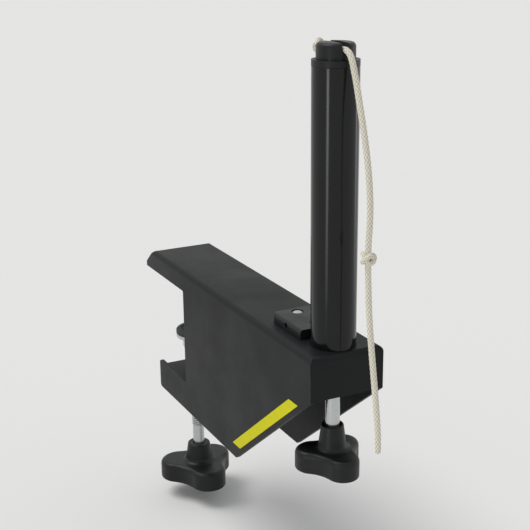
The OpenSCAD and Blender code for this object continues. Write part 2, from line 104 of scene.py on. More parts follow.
def smooth_route(points, parts=20):
    """A Catmull-Rom curve through the points."""
    ends = [2 * points[0] - points[1]] + points + [2 * points[-1] - points[-2]]
    route = []
    for before, start, stop, after in zip(ends, ends[1:], ends[2:], ends[3:]):
        for i in range(parts):
            t = i / parts
            route.append(0.5 * (2 * start + (stop - before) * t
                                + (2 * before - 5 * start + 4 * stop - after) * t * t
                                + (3 * start - before - 3 * stop + after) * t ** 3))
    return route + [points[-1]]


cord_route = smooth_route(ROUTE)

# %% [markdown]
# ## Making materials
# Each finish is a small network of nodes round one Principled shader. One helper adds a node with its
# settings and its links, and one starts a material. Colours are written as the hex values that a paint
# chart gives, and one function turns them to the linear light that Blender counts in. Patterns read Object
# coordinates, which are metres here, so a pattern's scale is one over its real size.

# %% Helpers for materials


def linear(code):
    """sRGB hex to linear RGBA."""
    parts = [int(code[i:i + 2], 16) / 255 for i in (1, 3, 5)]
    return [c / 12.92 if c <= 0.04045 else ((c + 0.055) / 1.055) ** 2.4 for c in parts] + [1.0]


def add(tree, kind, inputs=None, out=0, to=None, **settings):
    """Adds a node and gives the output named out. inputs maps a socket to a value or to the output that
    feeds it, and to is a socket that the new output feeds."""
    node = tree.nodes.new(kind)
    for name, value in settings.items():
        setattr(node, name, value)
    for socket, value in (inputs or {}).items():
        if isinstance(value, bpy.types.NodeSocket):
            tree.links.new(value, node.inputs[socket])
        else:
            node.inputs[socket].default_value = value
    if to:
        tree.links.new(node.outputs[out], to)
    return node.outputs[out]


def new_finish(name, **sockets):
    """A material with one Principled shader. Underscores in the socket names stand for spaces."""
    material = bpy.data.materials.new(name)
    material.use_nodes = True
    shader = material.node_tree.nodes["Principled BSDF"]
    for socket, value in sockets.items():
        shader.inputs[socket.replace("_", " ")].default_value = value
    return material, material.node_tree, shader


def per_mm(size):
    """The scale of a pattern whose repeat has this size in mm, on coordinates in metres."""
    return 1000 / size


print("helpers ready; black chart colour #1b1c1e is", [round(c, 4) for c in linear("#1b1c1e")])

# %% [markdown]
# ## Black powder coat
# The folded sheet is sprayed with dry polyester powder and baked. The powder melts into a satin skin about
# 0.08 mm thick with a slight orange peel: hills 1 to 2 mm apart and a few hundredths of a millimetre high.
# It is a plastic skin, so it has no metallic share. Its filler makes it shine less than clear plastic does,
# which a lower specular level gives. Handling makes its sheen uneven, and rubs it grey and smooth along the
# edges. That grey is partly wear and partly a painted highlight, the thin light line an edge catches: the
# faces of the rounded edges carry an attribute for it, and noise breaks the line up.

# %% Powder coat
EDGE = "rounded_edge"
powder_coat, tree, shader = new_finish("powder_coat_satin_black", IOR=1.5, Specular_IOR_Level=0.16)
where = add(tree, "ShaderNodeTexCoord", out="Object")
peel = add(tree, "ShaderNodeTexNoise",
           {"Vector": where, "Scale": per_mm(1.6), "Detail": 3, "Roughness": 0.6})
handled = add(tree, "ShaderNodeTexNoise",
              {"Vector": where, "Scale": per_mm(38), "Detail": 4, "Roughness": 0.6})
coat = add(tree, "ShaderNodeMix", {0: handled, 6: linear("#101112"), 7: linear("#1d1e20")}, 2,
           data_type="RGBA")
edge = add(tree, "ShaderNodeAttribute", out="Fac", attribute_name=EDGE)
patches = add(tree, "ShaderNodeTexNoise",
              {"Vector": where, "Scale": per_mm(9), "Detail": 5, "Roughness": 0.7})
# Lighter grey on the rounded edges, broken up by noise: partly edge wear, partly a painted highlight line.
wear_and_highlight_patches = add(tree, "ShaderNodeMapRange", {"Value": patches, "From Min": 0.38, "From Max": 0.62})
edge_wear_and_highlight = add(tree, "ShaderNodeMath", {0: edge, 1: wear_and_highlight_patches}, operation="MULTIPLY")
add(tree, "ShaderNodeMix", {0: edge_wear_and_highlight, 6: coat, 7: linear("#616365")}, 2, shader.inputs["Base Color"],
    data_type="RGBA")
sheen = add(tree, "ShaderNodeMapRange",
            {"Value": handled, "From Min": 0.3, "From Max": 0.7, "To Min": 0.4, "To Max": 0.55})
add(tree, "ShaderNodeMix", {0: edge_wear_and_highlight, 2: sheen, 3: 0.3}, to=shader.inputs["Roughness"])
add(tree, "ShaderNodeBump", {"Height": peel, "Distance": 0.03 * MM}, to=shader.inputs["Normal"])
print("powder coat: peel 1.6 mm apart, 0.03 mm high")

# %% [markdown]
# ## Lacquered tube
# The post is drawn tube under a glossy black lacquer, smoother than the powder coat, so an upright lamp
# shows in it as one narrow bright line. Drawing through a die leaves faint lines along the tube: noise
# that is stretched along Z gives them, 1.5 mm apart round the tube and 150 mm long.

# %% Lacquer
lacquer, tree, shader = new_finish("lacquered_drawn_tube", IOR=1.52, Specular_IOR_Level=0.28)
where = add(tree, "ShaderNodeTexCoord", out="Object")
stretched = add(tree, "ShaderNodeMapping", {"Vector": where, "Scale": (1, 1, 0.01)})
lines = add(tree, "ShaderNodeTexNoise", {"Vector": stretched, "Scale": per_mm(1.5), "Detail": 2})
haze = add(tree, "ShaderNodeTexNoise", {"Vector": where, "Scale": per_mm(30), "Detail": 3})
add(tree, "ShaderNodeMix", {0: haze, 6: linear("#0b0c0d"), 7: linear("#131415")}, 2,
    shader.inputs["Base Color"], data_type="RGBA")
add(tree, "ShaderNodeMapRange",
    {"Value": haze, "From Min": 0.3, "From Max": 0.7, "To Min": 0.11, "To Max": 0.17},
    to=shader.inputs["Roughness"])
add(tree, "ShaderNodeBump", {"Height": lines, "Distance": 0.001 * MM}, to=shader.inputs["Normal"])
print("lacquer: drawing lines 1.5 mm apart")

# %% [markdown]
# ## Moulded plastic
# Knobs, cap, bush and block are glass-filled nylon, moulded in a spark-eroded tool. The tool leaves a
# grain of about 0.25 mm that makes the black slightly grey in the light. It is drawn 0.5 mm wide here, so
# that it still shows from a step away.

# %% Moulded nylon
nylon, tree, shader = new_finish("moulded_nylon_black", IOR=1.53, Specular_IOR_Level=0.26)
where = add(tree, "ShaderNodeTexCoord", out="Object")
grain = add(tree, "ShaderNodeTexVoronoi", {"Vector": where, "Scale": per_mm(0.5)})
cloud = add(tree, "ShaderNodeTexNoise", {"Vector": where, "Scale": per_mm(14), "Detail": 3})
add(tree, "ShaderNodeMix", {0: cloud, 6: linear("#0f1011"), 7: linear("#1a1b1d")}, 2,
    shader.inputs["Base Color"], data_type="RGBA")
add(tree, "ShaderNodeMapRange",
    {"Value": cloud, "From Min": 0.3, "From Max": 0.7, "To Min": 0.34, "To Max": 0.48},
    to=shader.inputs["Roughness"])
add(tree, "ShaderNodeBump", {"Height": grain, "Distance": 0.03 * MM}, to=shader.inputs["Normal"])
print("nylon: grain 0.5 mm")

# %% [markdown]
# ## Bright zinc plate
# The screws, nut, foot, washer and rivets are steel, electroplated with zinc: a bright, slightly blue metal.
# The turned blank shows through as fine rings round the axis, drawn 1.2 mm apart here, and the passivation
# dip tints the zinc here and there.

# %% Zinc plate
zinc, tree, shader = new_finish("bright_zinc_plate", Metallic=1.0)
where = add(tree, "ShaderNodeTexCoord", out="Object")
squeezed = add(tree, "ShaderNodeMapping", {"Vector": where, "Scale": (0.02, 0.02, 1)})
turned = add(tree, "ShaderNodeTexNoise",
             {"Vector": squeezed, "Scale": per_mm(1.2), "Detail": 2, "Roughness": 0.7})
dip = add(tree, "ShaderNodeTexNoise", {"Vector": where, "Scale": per_mm(11), "Detail": 3, "Roughness": 0.6})
add(tree, "ShaderNodeMix", {0: dip, 6: linear("#adb5bd"), 7: linear("#cfcdc4")}, 2,
    shader.inputs["Base Color"], data_type="RGBA")
add(tree, "ShaderNodeMapRange",
    {"Value": dip, "From Min": 0.3, "From Max": 0.7, "To Min": 0.22, "To Max": 0.32},
    to=shader.inputs["Roughness"])
add(tree, "ShaderNodeBump", {"Height": turned, "Distance": 0.004 * MM}, to=shader.inputs["Normal"])
print("zinc: turning marks 1.2 mm apart")

# %% [markdown]
# ## Rubber and stripe film
# The pads are moulded rubber: matt, dark grey, with a pale bloom. The stripe is a printed film, with the
# slight unevenness of screen ink.

# %% Rubber and film
rubber, tree, shader = new_finish("moulded_rubber_grey", Roughness=0.78, IOR=1.5)
where = add(tree, "ShaderNodeTexCoord", out="Object")
bloom = add(tree, "ShaderNodeTexNoise", {"Vector": where, "Scale": per_mm(6), "Detail": 5, "Roughness": 0.65})
skin = add(tree, "ShaderNodeTexNoise", {"Vector": where, "Scale": per_mm(0.5)})
add(tree, "ShaderNodeMix", {0: bloom, 6: linear("#232426"), 7: linear("#434446")}, 2,
    shader.inputs["Base Color"], data_type="RGBA")
add(tree, "ShaderNodeBump", {"Height": skin, "Distance": 0.03 * MM}, to=shader.inputs["Normal"])

film, tree, shader = new_finish("printed_film_yellow_green", Roughness=0.5, IOR=1.49, Specular_IOR_Level=0.12)
where = add(tree, "ShaderNodeTexCoord", out="Object")
ink = add(tree, "ShaderNodeTexNoise", {"Vector": where, "Scale": per_mm(3), "Detail": 4, "Roughness": 0.6})
dots = add(tree, "ShaderNodeTexNoise", {"Vector": where, "Scale": per_mm(0.6)})
add(tree, "ShaderNodeMix", {0: ink, 6: linear("#c8c304"), 7: linear("#dad60c")}, 2,
    shader.inputs["Base Color"], data_type="RGBA")
add(tree, "ShaderNodeBump", {"Height": dots, "Distance": 0.01 * MM}, to=shader.inputs["Normal"])
print("rubber and film ready")

# %% [markdown]
# ## Braided cord
# The cord is braided polyester. Two sets of strands cross at a slant, so its surface is a lattice of small
# cushions, every second row shifted by half a step. The product of two cosines has just that form: one
# along the cord, 2.2 mm from cushion to cushion, and one round it, six times. Both the tube's shape and its
# colour use it: the crevices are darker, which is painted shade, and loose fibres give cloth its sheen.

# %% Braid
BRAID_STEP, BRAID_ROUND = 2.2, 6
braid, tree, shader = new_finish("braided_polyester_cream", Roughness=0.8, IOR=1.5, Sheen_Weight=0.2,
                                 Sheen_Roughness=0.4)
place = add(tree, "ShaderNodeUVMap", uv_map="cord_mm")
waves = []
for axis, turns in (("X", 1 / BRAID_STEP), ("Y", BRAID_ROUND)):
    way = add(tree, "ShaderNodeSeparateXYZ", {0: place}, axis)
    angle = add(tree, "ShaderNodeMath", {0: way, 1: 2 * math.pi * turns}, operation="MULTIPLY")
    waves.append(add(tree, "ShaderNodeMath", {0: angle}, operation="COSINE"))
cushions = add(tree, "ShaderNodeMath", {0: waves[0], 1: waves[1]}, operation="MULTIPLY")
# The colour is darker where the cushions are low, in the crevices: painted shade.
high = add(tree, "ShaderNodeMapRange", {"Value": cushions, "From Min": -1, "From Max": 0.6})
add(tree, "ShaderNodeMix", {0: high, 6: linear("#b7b09b"), 7: linear("#ebe6d6")}, 2,
    shader.inputs["Base Color"], data_type="RGBA")
where = add(tree, "ShaderNodeTexCoord", out="Object")
fibres = add(tree, "ShaderNodeTexNoise", {"Vector": where, "Scale": per_mm(0.5), "Detail": 3})
add(tree, "ShaderNodeBump", {"Height": fibres, "Distance": 0.05 * MM}, to=shader.inputs["Normal"])
print("braid:", BRAID_STEP, "mm along,", BRAID_ROUND, "cushions round")

# %% [markdown]
# ## Making pieces
# Every piece is built in millimetres and scaled to metres at the end, so that its numbers read like
# a drawing's. One helper finishes a piece: it merges doubles, makes the faces point outwards, shades the
# curves smooth, gives it its finish, lets it ride on the CAD body that carries it and hides the CAD node
# that it stands for.

# %% Finish and place a piece


def finish_piece(bm, name, body, material, replaces=(), weighted=True, sharp=40):
    """Turns a bmesh in millimetres into a piece of the clamp, in metres."""
    bmesh.ops.remove_doubles(bm, verts=bm.verts, dist=1e-4)
    bmesh.ops.recalc_face_normals(bm, faces=bm.faces)
    bmesh.ops.scale(bm, vec=(MM, MM, MM), verts=bm.verts)
    for face in bm.faces:
        face.smooth = True
    for edge in bm.edges:
        edge.smooth = not (edge.is_manifold and edge.calc_face_angle() > math.radians(sharp))
    unclosed = sum(not edge.is_manifold for edge in bm.edges)
    mesh = bpy.data.meshes.new(name)
    bm.to_mesh(mesh)
    bm.free()
    mesh.materials.append(material)
    piece = bpy.data.objects.new(name, mesh)
    bpy.context.scene.collection.objects.link(piece)
    if weighted:
        modifier = piece.modifiers.new("even_shading", "WEIGHTED_NORMAL")
        modifier.keep_sharp = True
    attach(piece, body)
    for node in replaces:
        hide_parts(node)
    print(f"{name}: {len(mesh.polygons)} faces, {unclosed} open or doubled edges")
    return piece


print("pieces are built in mm and scaled by", MM)

# %% [markdown]
# ## Soft edges on sheet metal and block shapes
# A laser-cut sheet is never knife-sharp once it is painted: the coat draws the edges to a radius of
# a few tenths, and that radius is what catches the light as a thin line. The CAD node's shape is right, so
# a copy of its mesh is merged, its flat faces are joined up, and every hard edge gets a small bevel. The
# bevel's own faces are marked with the attribute that the paint reads to make them lighter grey there, as
# wear and as a painted highlight.

# %% Copies with soft edges


def softened(node, body, material, radius, segments=3, crease=35):
    """A copy of a CAD node whose edges sharper than crease degrees are rounded to a radius in mm."""
    bm = bmesh.new()
    bm.from_mesh(frame["nodes"][node].data)
    bmesh.ops.scale(bm, vec=(1 / MM,) * 3, verts=bm.verts)
    bmesh.ops.remove_doubles(bm, verts=bm.verts, dist=1e-3)
    bmesh.ops.dissolve_limit(bm, angle_limit=math.radians(1), verts=bm.verts, edges=bm.edges)
    # The bevel faces marked here are painted lighter grey by the powder coat: partly wear, partly a painted
    # highlight.
    rounded = bm.faces.layers.float.new(EDGE)
    hard = [e for e in bm.edges if e.is_manifold and e.calc_face_angle() > math.radians(crease)]
    for face in bmesh.ops.bevel(bm, geom=hard, offset=radius, segments=segments, profile=0.5, affect="EDGES",
                                clamp_overlap=True, material=-1)["faces"]:
        face[rounded] = 1
    return finish_piece(bm, node + "_soft", body, material, [node])


softened("frame_channel", "frame", powder_coat, 0.4)
softened("jaw_bracket", "frame", powder_coat, 0.3)
softened("post_seat_plate", "frame", powder_coat, 0.3)
softened("side_stripes", "frame", film, 0.1, 2)
softened("net_tie_block", "frame", nylon, 0.35)
softened("upper_jaw_pad", "frame", rubber, 0.15, 2)
softened("clamp_nut", "frame", zinc, 0.2, 2, 50)
softened("guide_bush", "frame", nylon, 0.35)
softened("post_cap", "post", nylon, 0.35)
softened("lift_nut", "post", nylon, 0.25)
softened("stem_clip", "height_spindle", zinc, 0.1, 2)
softened("inner_tube", "post", lacquer, 0.15, 2)

# %% [markdown]
# ## Turned parts
# Tubes, foot, washer, rivets and screw ends are round about one axis. A lathe cuts such a part along
# a profile, and spin does the same: it turns a chain of points round the axis. The profile's points are
# radius and height in millimetres, and the axis stands at a place on the middle plane. The two screws'
# axes are those of the joints that they turn on. Each part takes its height and its outer radius from the
# solid that it stands for, and its inner measures are named beside it.

# %% Places and sizes from the frame
joints = {joint["name"]: joint for joint in frame["joints"]}
FOOT_X = round(joints["clamp_turn"]["pos_m"][0] / MM, 2)
POST_X = round(joints["height_turn"]["pos_m"][0] / MM, 2)


def heights(node):
    """Heights of a solid's underside and of its top, in mm."""
    low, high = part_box(node)
    return round(low.z / MM, 2), round(high.z / MM, 2)


def radius_of(node, x):
    """How far a round solid reaches from its upright axis at x, in mm."""
    return round(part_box(node)[1].x / MM - x, 2)


print("the screws' axes are at x", FOOT_X, "and", POST_X, "mm")

# %% Spin a profile


def spun(bm, profile, x, steps=96):
    """Turns a profile of (radius, height) points into a closed round shell about an upright axis."""
    chain = [bm.verts.new((x + r, 0, z)) for r, z in profile]
    pairs = list(zip(chain, chain[1:]))
    if profile[0][0] > 0:
        pairs.append((chain[-1], chain[0]))
    edges = [bm.edges.new(pair) for pair in pairs]
    bmesh.ops.spin(bm, geom=chain + edges, axis=(0, 0, 1), cent=(x, 0, 0), angle=2 * math.pi, steps=steps,
                   use_merge=True)
    bmesh.ops.remove_doubles(bm, verts=bm.verts, dist=2e-4)


def arc(r, z, radius, start, stop, parts=4):
    """Points on an arc about (r, z) between two angles in degrees, for use in a profile."""
    angles = [math.radians(start + (stop - start) * i / parts) for i in range(parts + 1)]
    return [(r + radius * math.cos(angle), z + radius * math.sin(angle)) for angle in angles]


def round_piece(name, body, material, node, x, profile):
    """One piece turned from one profile."""
    bm = bmesh.new()
    spun(bm, profile, x)
    return finish_piece(bm, name, body, material, [node])


print("a quarter round of 1 mm:", [(round(r, 2), round(z, 2)) for r, z in arc(0, 0, 1, 90, 0)])

# %% [markdown]
# The outer tube's ends are deburred: a few tenths of a millimetre are taken off, more on the upper rim,
# where the guide bush goes in. The washer is punched from sheet, so its rim is slightly round.

# %% Outer tube and washer
TUBE_WALL = 1
STEM_R = 3.6
RUN_GAP = 0.05
BORE_R = STEM_R + RUN_GAP

low, top = heights("post_tube")
outer = radius_of("post_tube", POST_X)
inner = outer - TUBE_WALL
round_piece("outer_tube", "frame", lacquer, "post_tube", POST_X,
            [(inner + 0.2, low), (outer - 0.2, low), (outer, low + 0.2), (outer, top - 0.2),
             (outer - 0.1, top - 0.05), (outer - 0.25, top), (inner + 0.25, top), (inner + 0.1, top - 0.05),
             (inner, top - 0.2), (inner, low + 0.2)])

low, top = heights("thrust_washer")
rim, edge_r = radius_of("thrust_washer", POST_X), 0.2
round_piece("washer", "frame", zinc, "thrust_washer", POST_X,
            [*arc(rim - edge_r, top - edge_r, edge_r, 90, 0, 3),
             *arc(rim - edge_r, low + edge_r, edge_r, 0, -90, 3),
             (BORE_R + 0.2, low), (BORE_R, low + 0.15), (BORE_R, top - 0.15), (BORE_R + 0.2, top)])

# %% [markdown]
# The pressure foot is a steel plate with a socket under it. The screw's ball sits in the socket, whose lip
# is rolled in under the ball and holds it. A rubber pad with two ring grooves is glued on the plate.

# %% Pressure foot and its pad
BALL_R = 5
BALL_Z = heights("clamp_screw")[1] - BALL_R

low, top = heights("pressure_foot")
rim, plate_t, edge_r = radius_of("pressure_foot", FOOT_X), 2.5, 0.8
socket, fillet, mouth = 8, 1.5, 3.4
plate_low = top - plate_t
round_piece("foot_cup", "clamp_foot", zinc, "pressure_foot", FOOT_X,
            [(0, top), *arc(rim - edge_r, top - edge_r, edge_r, 90, 0),
             *arc(rim - edge_r, plate_low + edge_r, edge_r, 0, -90),
             *arc(socket + fillet, plate_low - fillet, fillet, 90, 180), (socket, low + 3.3),
             (socket - 0.1, low + 2.9), *arc(socket - 1.5, low + 0.5, 0.5, -10, -90, 3), (mouth + 0.2, low),
             (mouth, low + 0.2), *arc(0, BALL_Z, BALL_R + RUN_GAP, -47, 90, 16)])

low, top = heights("foot_pad")
rim = radius_of("foot_pad", FOOT_X)
GROOVE_W, GROOVE_DEEP = 1, 0.6
grooves = []
for outer in (0.7 * rim + GROOVE_W / 2, 0.4 * rim + GROOVE_W / 2):
    inner = outer - GROOVE_W
    grooves += [(outer + 0.1, top), (outer, top - 0.1), (outer, top - GROOVE_DEEP),
                (inner, top - GROOVE_DEEP), (inner, top - 0.1), (inner - 0.1, top)]
round_piece("foot_rubber", "clamp_foot", rubber, "foot_pad", FOOT_X,
            [(0, low), (rim - 0.2, low), (rim, low + 0.2), (rim, top - 0.9), (rim - 0.15, top - 0.65),
             (rim - 0.65, top - 0.15), (rim - 0.9, top), *grooves, (0, top)])

# %% [markdown]
# Two rivets hold the tie block on the frame. Each has a low domed head on the block and a tail that is
# upset under the sheet.

# %% Rivets
RIVET_R, TAIL_H = 1.6, 1.2
low, top = heights("tie_rivets")
block_start, block_end = [corner.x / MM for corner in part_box("net_tie_block")]
rivets = bmesh.new()
for x in (round(block_start + 5, 2), round(block_end - 6, 2)):
    spun(rivets, [(0, top), (1.3, top - 0.06), (2.2, top - 0.3), (2.75, top - 0.7), (2.98, top - 1.2),
                  (3, top - 1.5), (RIVET_R, top - 1.5), (RIVET_R, low + TAIL_H), (2.6, low + TAIL_H),
                  *arc(2.2, low + 0.7, 0.5, 0, -70), (1.8, low + 0.05), (0, low)], x, 40)
finish_piece(rivets, "rivets_domed", "frame", zinc, ["tie_rivets"])

# %% [markdown]
# ## Screws
# Both screws have a coarse M8 thread, one turn every 1.25 mm. A thread is one pitch of profile, a root, a
# slope, a crest and a slope, that climbs by a pitch in each turn. Spin can climb as it turns, so the turns
# join into one surface once their doubles are merged, and a cut at each end makes them flat.

# %% Thread
THREAD_R, PITCH = 4, 1.25
THREAD_DEEP = 0.61 * PITCH


def threaded(bm, x, low, high, steps=28):
    """A closed rod with a helical thread between two heights. The profile's heights are shares of a pitch."""
    rod = bmesh.new()
    root = THREAD_R - THREAD_DEEP
    turns = math.ceil((high - low) / PITCH) + 2
    profile = [(root, 0), (root, 0.25), (THREAD_R, 0.5625), (THREAD_R, 0.6875), (root, 1)]
    chain = [rod.verts.new((r, 0, low - PITCH + share * PITCH)) for r, share in profile]
    edges = [rod.edges.new(pair) for pair in zip(chain, chain[1:])]
    bmesh.ops.spin(rod, geom=chain + edges, axis=(0, 0, 1), cent=(0, 0, 0), angle=2 * math.pi * turns,
                   steps=steps * turns, dvec=(0, 0, PITCH / steps))
    bmesh.ops.remove_doubles(rod, verts=rod.verts, dist=5e-3)
    for height, way in ((low, -1), (high, 1)):
        bmesh.ops.bisect_plane(rod, geom=rod.verts[:] + rod.edges[:] + rod.faces[:], plane_co=(0, 0, height),
                               plane_no=(0, 0, way), clear_outer=True)
        bmesh.ops.remove_doubles(rod, verts=rod.verts, dist=2e-3)
        rim = [e for e in rod.edges if e.is_boundary and abs(e.verts[0].co.z - height) < 1e-3]
        bmesh.ops.edgeloop_fill(rod, edges=rim)
    bmesh.ops.translate(rod, vec=(x, 0, 0), verts=rod.verts)
    bmesh.ops.recalc_face_normals(rod, faces=rod.faces)
    made = bpy.data.meshes.new("rod")
    rod.to_mesh(made)
    rod.free()
    bm.from_mesh(made)
    bpy.data.meshes.remove(made)


print("a thread of", 2 * THREAD_R, "mm, one turn every", PITCH, "mm")

# %% [markdown]
# The clamp screw has a turned ball and neck above its thread, and a plain stem below it, on which its knob
# is pressed. The height screw has its thread above a collar that rests on the seat plate. The stem under
# the collar has a groove for the clip that holds the screw down.

# %% The two screws
STEM_LENGTH, NECK_LENGTH, COLLAR_H = 13, 1.5, 2.5
CHAMFER, OVERLAP = 1, 0.1

low, top = heights("clamp_screw")
neck_top = heights("pressure_foot")[0] - 0.5
neck_low = neck_top - NECK_LENGTH
stem_top = heights("clamp_knob")[1] + STEM_LENGTH
clamp_screw = bmesh.new()
threaded(clamp_screw, FOOT_X, stem_top, neck_low - CHAMFER + OVERLAP)
spun(clamp_screw, [(0, top), *arc(0, BALL_Z, BALL_R, 85, -50, 18), (THREAD_R - CHAMFER, neck_top),
                   (THREAD_R - CHAMFER, neck_low), (THREAD_R, neck_low - CHAMFER), (0, neck_low - CHAMFER)],
     FOOT_X)
spun(clamp_screw, [(0, stem_top + OVERLAP), (STEM_R - 0.3, stem_top + OVERLAP), (STEM_R, stem_top - 0.2),
                   (STEM_R, low), (0, low)], FOOT_X)
finish_piece(clamp_screw, "clamp_screw_threaded", "clamp_spindle", zinc, ["clamp_screw"])

low, top = heights("height_screw")
collar, edge_r = radius_of("height_screw", POST_X), 0.3
collar_low = heights("post_seat_plate")[1] + RUN_GAP
collar_top = collar_low + COLLAR_H
clip_low, clip_top = heights("stem_clip")
height_screw = bmesh.new()
threaded(height_screw, POST_X, collar_top - RUN_GAP, top - CHAMFER)
spun(height_screw, [(0, top - CHAMFER), (THREAD_R - 0.1, top - CHAMFER), (THREAD_R - CHAMFER, top), (0, top)],
     POST_X)
spun(height_screw, [(0, collar_top), *arc(collar - edge_r, collar_top - edge_r, edge_r, 90, 0),
                    *arc(collar - edge_r, collar_low + edge_r, edge_r, 0, -90), (STEM_R, collar_low),
                    (STEM_R, clip_top + RUN_GAP), (STEM_R - 0.8, clip_top + RUN_GAP),
                    (STEM_R - 0.8, clip_low - RUN_GAP), (STEM_R, clip_low - RUN_GAP), (STEM_R, low),
                    (0, low)], POST_X)
finish_piece(height_screw, "height_screw_threaded", "height_spindle", zinc, ["height_screw"])

# %% [markdown]
# ## Lobed knobs
# A moulded hand knob has three lobes for the fingers, hollows between them and a tapered hub that runs
# into the grip in a soft cove. It is one skin of rings: each ring is the one before it, extruded and
# moved. The hub's rings are circles, the grip's follow the lobes' outline, and those of the recess under
# the grip are circles again. Ribs stiffen the recess, which is there so that the plastic cools evenly.

# %% The lobes' outline
LOBE_SHARE, WAIST_SHARE = 0.22, 0.32


def lobed_radius(angle, d):
    """Distance from the axis to the outline: a lobe's circle, or the hollow's circle between two lobes."""
    lobe, waist = LOBE_SHARE * d, WAIST_SHARE * d
    reach = d / 2 - lobe
    hollow = (reach ** 2 + waist ** 2 - reach * waist - lobe ** 2) / (reach + 2 * lobe - 2 * waist)
    far = waist + hollow
    a = abs((math.degrees(angle) + 60) % 120 - 60)
    centre = Vector((far * math.cos(math.radians(60)), far * math.sin(math.radians(60))))
    meet = Vector((reach, 0)) + (centre - Vector((reach, 0))).normalized() * lobe
    if a < math.degrees(math.atan2(meet.y, meet.x)):
        aside = reach * math.sin(math.radians(a))
        return reach * math.cos(math.radians(a)) + math.sqrt(lobe ** 2 - aside ** 2)
    aside = far * math.sin(math.radians(60 - a))
    return far * math.cos(math.radians(60 - a)) - math.sqrt(hollow ** 2 - aside ** 2)


print("outline of a 50 mm knob:", [round(lobed_radius(math.radians(a), 50), 1) for a in (0, 30, 60)])

# %% Knob as a stack of rings
AROUND = 144
RIBS = 6


def next_ring(bm, edges):
    """Extrudes a closed ring of edges, and gives the new ring's vertices and edges."""
    grown = bmesh.ops.extrude_edge_only(bm, edges=edges)["geom"]
    verts = [g for g in grown if isinstance(g, bmesh.types.BMVert)]
    new = set(verts)
    return verts, [g for g in grown if isinstance(g, bmesh.types.BMEdge) and new.issuperset(g.verts)]


def lobed_knob(name, body, node, x, d, grip, wall):
    """A three-lobed knob of diameter d, lobes of height grip, and a hub with a wall of this thickness at its
    top. Each ring is (follows the lobes, radius or inset, height against the hub's top)."""
    low, top = heights(node)
    base = low - top
    shoulder, cove, dome, hollow = base + grip, 3, 3, 3
    hub_top, core = BORE_R + wall, BORE_R + 2.5
    hub_low, recess = hub_top + 1.2, WAIST_SHARE * d - 2
    parting = base + 0.45 * grip
    rings = [(False, r, z) for r, z in [
        (BORE_R, -6), (BORE_R, -0.4), (BORE_R + 0.25, -0.1), (BORE_R + 0.45, 0),
        *arc(hub_top - 1, -1, 1, 90, 0, 4), *arc(hub_low + cove, shoulder + cove, cove, 180, 265, 6)]]
    rings += [(True, dome + 2, shoulder), (True, dome + 0.6, shoulder)]
    rings += [(True, dome - r, z) for r, z in arc(0, shoulder - dome, dome, 90, 0, 8)]
    rings += [(True, 0, parting + 0.25), (True, 0.12, parting + 0.1), (True, 0.12, parting - 0.1),
              (True, 0, parting - 0.25)]
    rings += [(True, 1 - r, z) for r, z in arc(0, base + 1, 1, 0, -90, 4)]
    rings += [(False, r, z) for r, z in [
        (recess + 0.2, base), (recess, base + 0.2), (recess - 0.2, base + hollow),
        (core + 0.3, base + hollow), (core, base + 0.2), (core - 0.2, base), (2, base)]]
    bm = bmesh.new()
    verts = bmesh.ops.create_circle(bm, segments=AROUND, radius=1)["verts"]
    edges = list(bm.edges)
    for i, (lobed, size, z) in enumerate(rings):
        if i:
            verts, edges = next_ring(bm, edges)
        for vert in verts:
            angle = math.atan2(vert.co.y, vert.co.x)
            radius = lobed_radius(angle, d) - size if lobed else size
            vert.co = (radius * math.cos(angle), radius * math.sin(angle), z)
        if i in (0, len(rings) - 1):
            bmesh.ops.edgeloop_fill(bm, edges=edges)
    for i in range(RIBS):
        rib = bmesh.ops.create_cube(bm, size=1)["verts"]
        bmesh.ops.scale(bm, vec=(recess - 6, 1.2, hollow + 0.2), verts=rib)
        bmesh.ops.translate(bm, vec=((recess + 6) / 2, 0, base + hollow / 2 + 0.15), verts=rib)
        turn = Matrix.Rotation(2 * math.pi * i / RIBS, 3, "Z")
        bmesh.ops.rotate(bm, cent=(0, 0, 0), matrix=turn, verts=rib)
    bmesh.ops.translate(bm, vec=(x, 0, top), verts=bm.verts)
    return finish_piece(bm, name, body, nylon, [node])


lobed_knob("clamp_knob_moulded", "clamp_spindle", "clamp_knob", FOOT_X, d=50, grip=12, wall=3.5)
lobed_knob("height_knob_moulded", "height_spindle", "height_knob", POST_X, d=37, grip=11, wall=2)

# %% [markdown]
# ## Weld beads
# The nut is welded under the folded strip on three of its flats. A bead is a small rounded heap of
# metal, made here from a sphere that is drawn out along the flat.

# %% Beads round the nut
nut_top = heights("clamp_nut")[1]
nut_flat = round(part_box("clamp_nut")[1].y / MM, 2)
beads = bmesh.new()
for turn in (30, 150, 270):
    ball = bmesh.ops.create_uvsphere(beads, u_segments=20, v_segments=12, radius=1)["verts"]
    bmesh.ops.scale(beads, vec=(1.1, 2.6, 1.0), verts=ball)
    for vert in ball:
        vert.co *= 1 + 0.05 * math.sin(5 * vert.co.y) * math.cos(3 * vert.co.z)
    bmesh.ops.translate(beads, vec=(nut_flat + 0.2, 0, 0), verts=ball)
    bmesh.ops.rotate(beads, cent=(0, 0, 0), matrix=Matrix.Rotation(math.radians(turn), 3, "Z"), verts=ball)
    bmesh.ops.translate(beads, vec=(FOOT_X, 0, nut_top), verts=ball)
    bmesh.ops.bisect_plane(beads, geom=beads.verts[:] + beads.edges[:] + beads.faces[:],
                           plane_co=(0, 0, nut_top + 0.05), plane_no=(0, 0, 1), clear_outer=True)
bmesh.ops.holes_fill(beads, edges=[e for e in beads.edges if e.is_boundary], sides=0)
finish_piece(beads, "nut_weld_beads", "frame", powder_coat)

# %% [markdown]
# ## Cord and knots
# The tube is a ring that is extruded and turned along the route, station by station. The braid's cushions
# are shaped into it, which takes a ring about every third of a millimetre. Its ends are melted round, so
# that the braid doesn't fray. A knot is a second tube that winds twice round the cord and passes over and
# under itself three times, as a pulled-tight overhand knot does; both its ends go down into the cord.

# %% Sweep a tube along a route
CORD_R, STRAND_R = 1.5, 1.2
CUSHION_DEEP = 0.16
MELTED = 1.2


